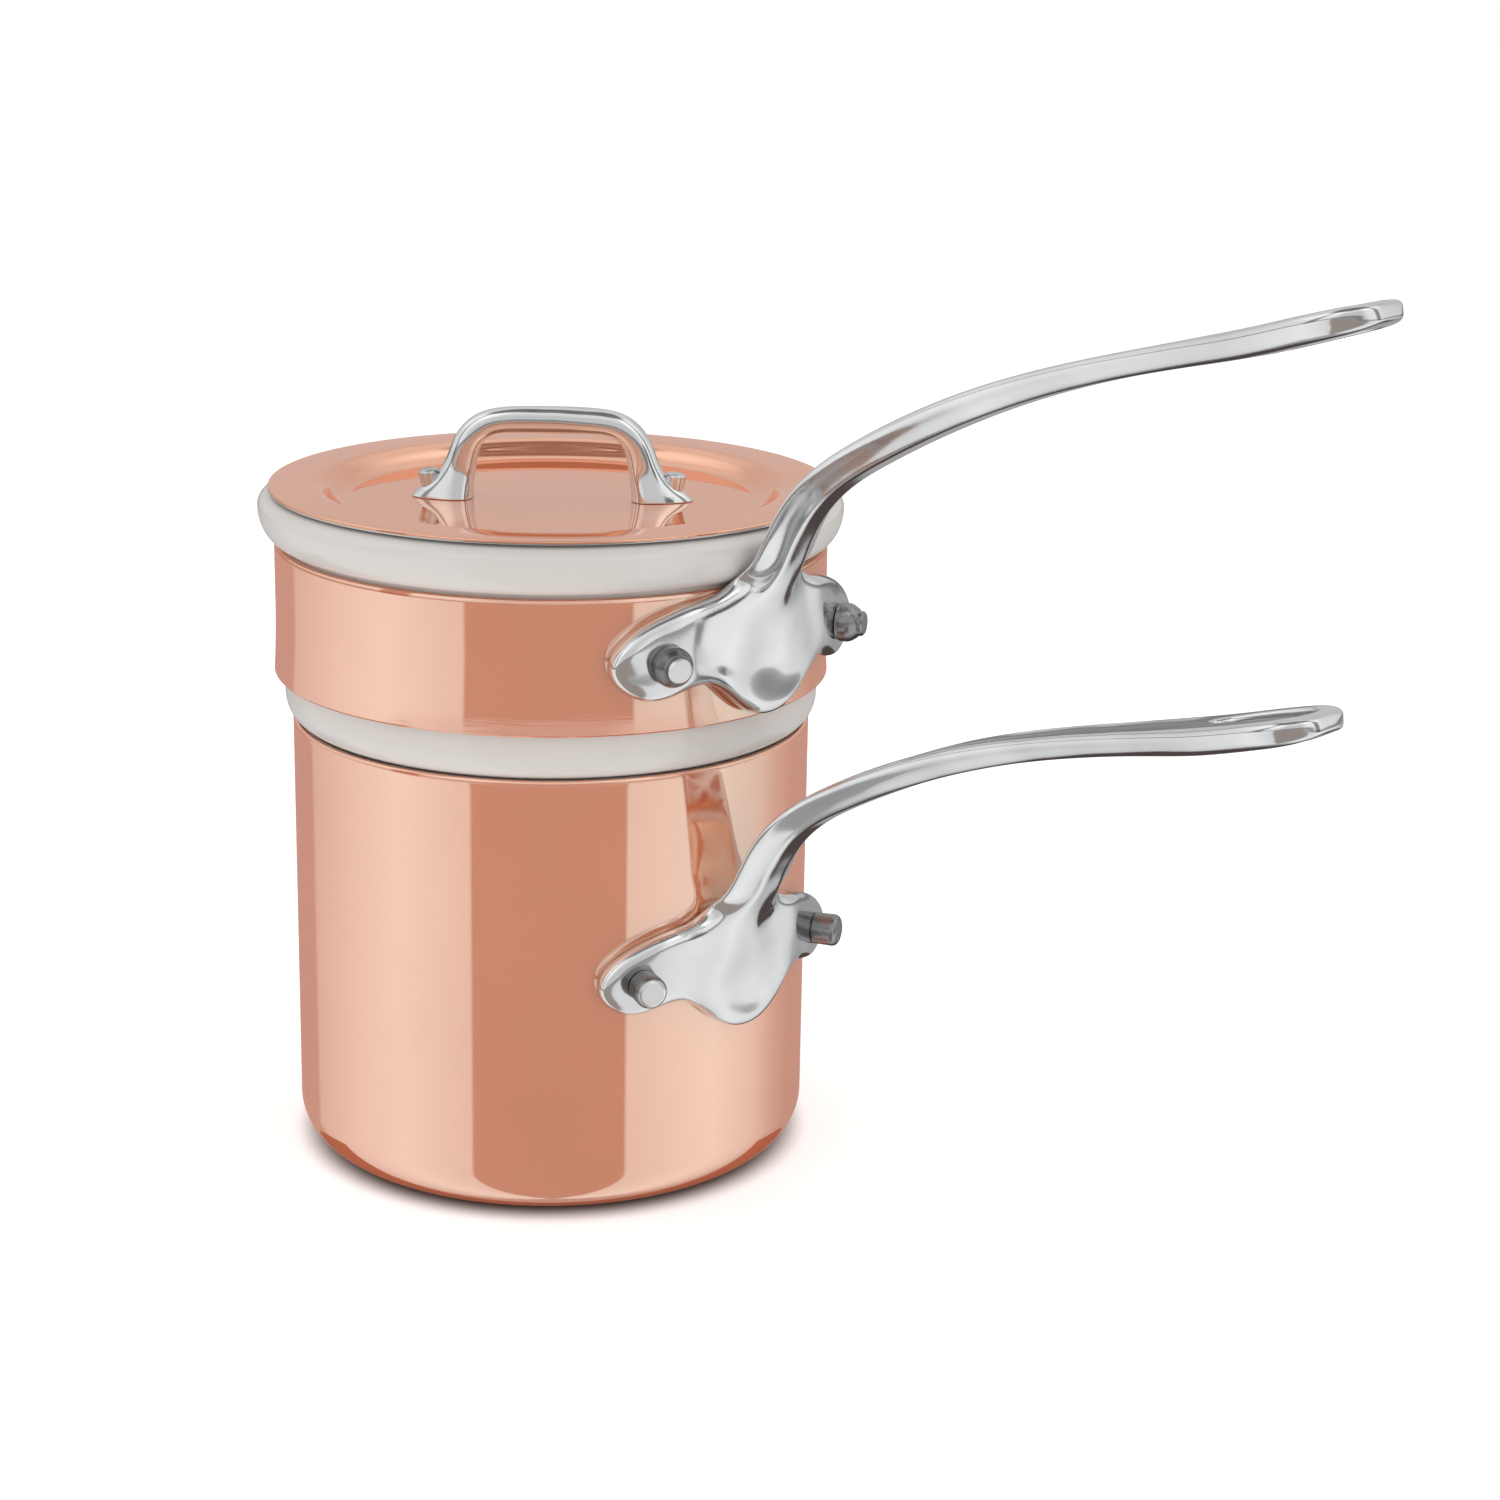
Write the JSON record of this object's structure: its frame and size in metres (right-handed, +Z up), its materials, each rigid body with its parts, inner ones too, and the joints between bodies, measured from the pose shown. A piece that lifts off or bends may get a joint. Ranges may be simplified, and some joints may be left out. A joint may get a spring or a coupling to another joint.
{
  "type": "double boiler",
  "caption": "Round copper pot with a porcelain insert seated on its rim, a copper band and lid, and long curved cast handles with hanging eyes on both pans.",
  "frame": {"origin": "centre of the pot's flat base", "axes": "+Z up along the pots' common axis, +X along the lower handle, away from the pot"},
  "size_m": [0.2818, 0.1342, 0.221],
  "materials": {
    "copper": "polished copper",
    "lining": "satin steel",
    "cast_handle": "polished cast steel",
    "rivet": "dull steel",
    "porcelain": "white glaze"
  },
  "bodies": {
    "lower_pan": {"lower_pot": "copper", "pot_lining": "lining", "lower_handle": "cast_handle", "lower_rivet_left": "rivet", "lower_rivet_right": "rivet"},
    "upper_pan": {"porcelain_insert": "porcelain", "handle_band": "copper", "upper_handle": "cast_handle", "upper_rivet_left": "rivet", "upper_rivet_right": "rivet"},
    "lid": {"lid_shell": "copper", "lid_lining": "lining", "lid_handle": "cast_handle", "lid_rivet_left": "rivet", "lid_rivet_right": "rivet"}
  },
  "joints": [
    {"name": "upper_pan_lift", "type": "slide", "parent": "lower_pan", "child": "upper_pan", "axis": [0, 0, 1], "range_m": [0, 0.08]},
    {"name": "lid_lift", "type": "slide", "parent": "upper_pan", "child": "lid", "axis": [0, 0, 1], "range_m": [0, 0.05]}
  ]
}
